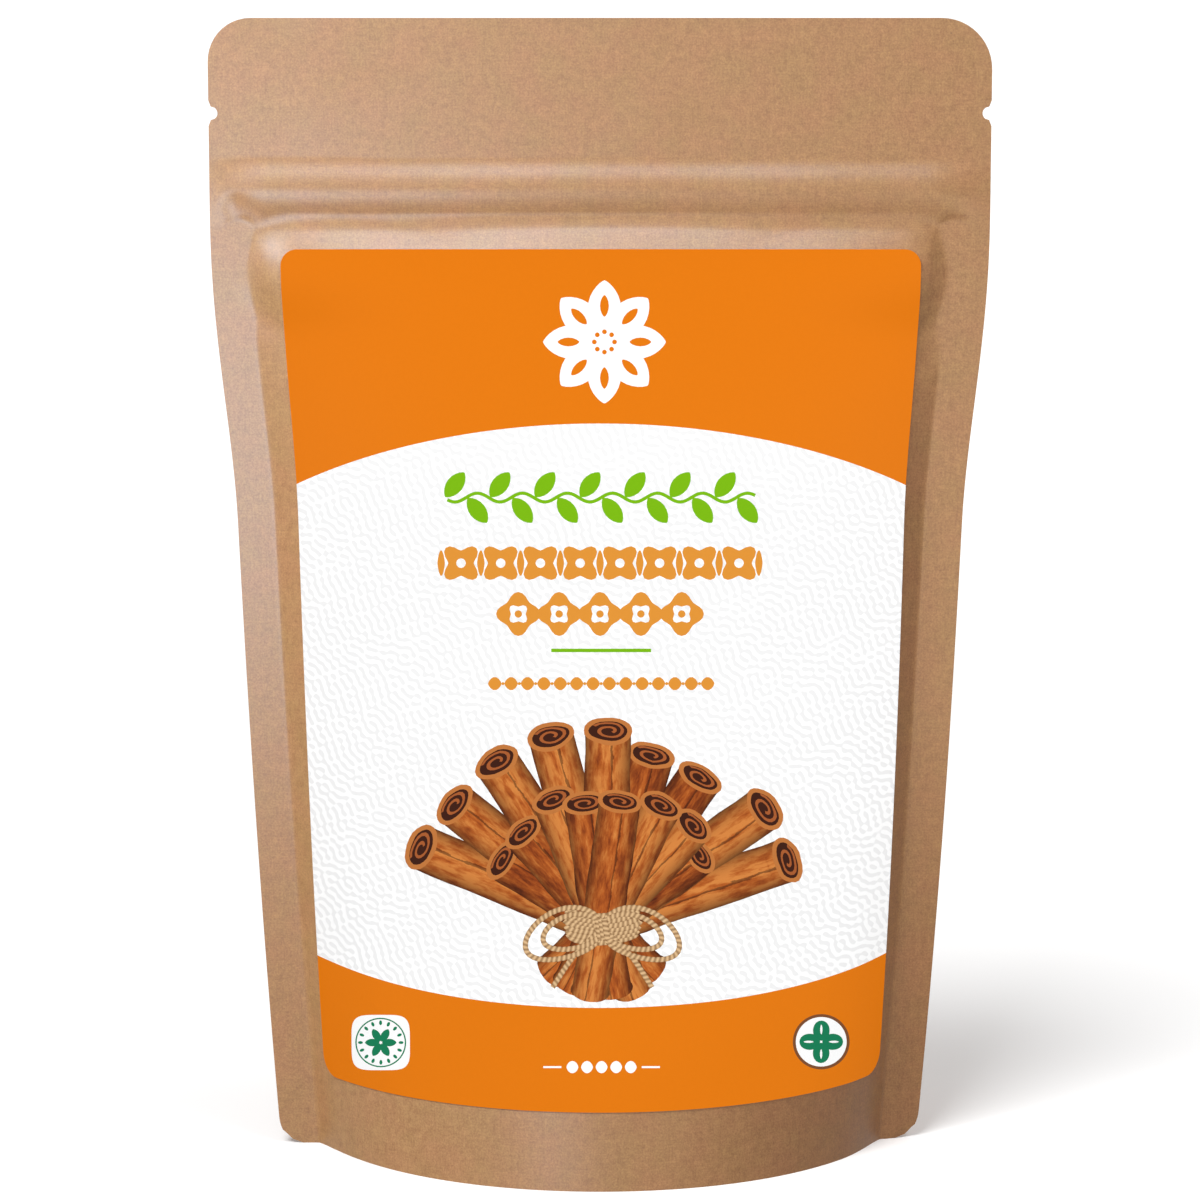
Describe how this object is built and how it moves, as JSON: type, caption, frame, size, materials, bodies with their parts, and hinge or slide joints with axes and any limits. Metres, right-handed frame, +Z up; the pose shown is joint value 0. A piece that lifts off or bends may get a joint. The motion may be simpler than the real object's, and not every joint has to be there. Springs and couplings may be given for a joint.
{
  "type": "stand-up pouch",
  "caption": "Shut kraft paper stand-up pouch of dried spice, filled and standing, with a pressed zip line, side tear notches and a large two-colour front label.",
  "frame": {"origin": "middle of the base, on the surface the pouch stands on", "axes": "+Z up, the labelled front faces -Y, +X to the right as seen from the front"},
  "size_m": [0.2, 0.0866, 0.294],
  "materials": {
    "kraft_paper": "matte unbleached kraft with fine fibres",
    "label_paper": "smooth satin print in orange and white"
  },
  "bodies": {
    "root": {"pouch": "kraft_paper", "label": "label_paper"}
  },
  "joints": []
}
